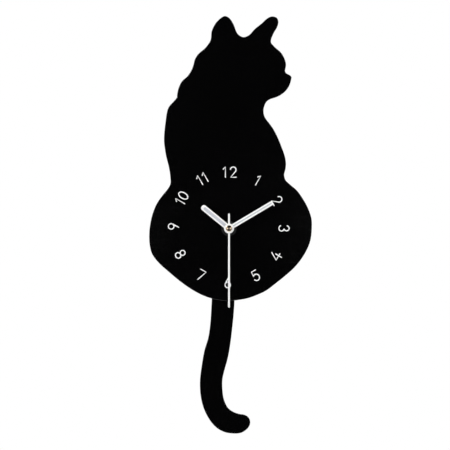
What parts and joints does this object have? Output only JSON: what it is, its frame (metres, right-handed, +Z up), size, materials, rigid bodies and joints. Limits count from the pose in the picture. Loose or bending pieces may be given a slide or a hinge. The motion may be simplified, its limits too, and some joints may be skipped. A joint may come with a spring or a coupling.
{
  "type": "pendulum wall clock",
  "caption": "Quartz wall clock with a flat sitting-cat panel as its dial and a tail that swings below it as the pendulum.",
  "frame": {"origin": "where the nail bears at the top of the hanger's keyhole slot, on the wall plane", "axes": "+Z up, -Y the way the dial looks, +X to the right of a person reading the dial; the wall is the plane y = 0"},
  "size_m": [0.1788, 0.0318, 0.4591],
  "materials": {
    "black_acrylic": "polished cast acrylic sheet, laser cut",
    "white_paint": "white enamel on stamped sheet",
    "black_plastic": "fine textured moulding",
    "ivory_plastic": "smooth acetal moulding",
    "brass": "turned brass",
    "zinc_steel": "zinc plated steel",
    "magnet_nickel": "nickel plated",
    "copper_wire": "enamelled copper winding",
    "circuit_board": "solder mask on glass board",
    "cell_jacket": "printed cell jacket",
    "black_rubber": "moulded rubber",
    "black_washer": "black finish",
    "black_nut": "black finish"
  },
  "bodies": {
    "clock_body": {"cat_panel": "black_acrylic", "front_case": "black_plastic", "back_cover": "black_plastic", "train_plate": "ivory_plastic", "threaded_bushing": "brass", "hanger_plate": "zinc_steel", "rubber_gasket": "black_rubber", "flat_washer": "black_washer", "hex_nut": "black_nut", "stator": "zinc_steel", "coil_core": "zinc_steel", "coil_bobbin": "ivory_plastic", "coil_winding": "copper_wire", "circuit_board": "circuit_board", "quartz_crystal": "magnet_nickel", "negative_contact": "zinc_steel", "positive_contact": "zinc_steel", "pendulum_coil": "copper_wire", "pendulum_board": "circuit_board", "pivot_pin": "zinc_steel"},
    "second_set": {"second_wheel": "ivory_plastic", "second_hand": "white_paint", "second_hand_cap": "brass"},
    "third_wheel": {"third_wheel": "ivory_plastic"},
    "centre_wheel": {"centre_wheel": "brass"},
    "intermediate_wheel": {"intermediate_wheel": "ivory_plastic"},
    "rotor": {"rotor_pinion": "ivory_plastic", "rotor_magnet": "magnet_nickel"},
    "minute_set": {"minute_arbor": "brass", "clutch_spring": "zinc_steel", "minute_hand": "white_paint"},
    "reverse_set": {"reverse_wheel": "ivory_plastic", "setting_knob": "ivory_plastic"},
    "hour_set": {"hour_wheel": "ivory_plastic", "hour_hand": "white_paint"},
    "tail_pendulum": {"tail": "black_acrylic", "tail_bracket": "zinc_steel", "tail_screw_1": "zinc_steel", "tail_screw_2": "zinc_steel", "pendulum_lever": "ivory_plastic", "pendulum_magnet": "magnet_nickel"},
    "battery": {"battery": "cell_jacket"}
  },
  "joints": [
    {"name": "second_hand_turn", "type": "hinge", "parent": "clock_body", "child": "second_set", "pos_m": [0, 0, -0.04], "axis": [0, 1, 0], "continuous": true},
    {"name": "third_wheel_turn", "type": "hinge", "parent": "clock_body", "child": "third_wheel", "pos_m": [-0.00918, 0, -0.04], "axis": [0, 1, 0], "continuous": true},
    {"name": "centre_wheel_turn", "type": "hinge", "parent": "clock_body", "child": "centre_wheel", "pos_m": [0, 0, -0.04], "axis": [0, 1, 0], "continuous": true},
    {"name": "intermediate_wheel_turn", "type": "hinge", "parent": "clock_body", "child": "intermediate_wheel", "pos_m": [0.00677, 0, -0.03754], "axis": [0, 1, 0], "continuous": true},
    {"name": "rotor_turn", "type": "hinge", "parent": "clock_body", "child": "rotor", "pos_m": [0.01366, 0, -0.03632], "axis": [0, 1, 0], "continuous": true},
    {"name": "minute_hand_turn", "type": "hinge", "parent": "clock_body", "child": "minute_set", "pos_m": [0, 0, -0.04], "axis": [0, 1, 0], "continuous": true},
    {"name": "reverse_wheel_turn", "type": "hinge", "parent": "clock_body", "child": "reverse_set", "pos_m": [0, 0, -0.0304], "axis": [0, 1, 0], "continuous": true},
    {"name": "hour_hand_turn", "type": "hinge", "parent": "clock_body", "child": "hour_set", "pos_m": [0, 0, -0.04], "axis": [0, 1, 0], "continuous": true},
    {"name": "tail_swing", "type": "hinge", "parent": "clock_body", "child": "tail_pendulum", "pos_m": [0, 0, -0.076], "axis": [0, 1, 0], "range_deg": [-13, 3]},
    {"name": "battery_slide", "type": "slide", "parent": "clock_body", "child": "battery", "axis": [0, 1, 0], "range_m": [0, 0.022]}
  ],
  "couplings": [
    {"joint": "third_wheel_turn", "follows": "second_hand_turn", "ratio": -0.125},
    {"joint": "centre_wheel_turn", "follows": "second_hand_turn", "ratio": 0.016667},
    {"joint": "intermediate_wheel_turn", "follows": "second_hand_turn", "ratio": -5},
    {"joint": "rotor_turn", "follows": "second_hand_turn", "ratio": 30},
    {"joint": "reverse_wheel_turn", "follows": "minute_hand_turn", "ratio": -0.33333},
    {"joint": "hour_hand_turn", "follows": "minute_hand_turn", "ratio": 0.083333}
  ]
}
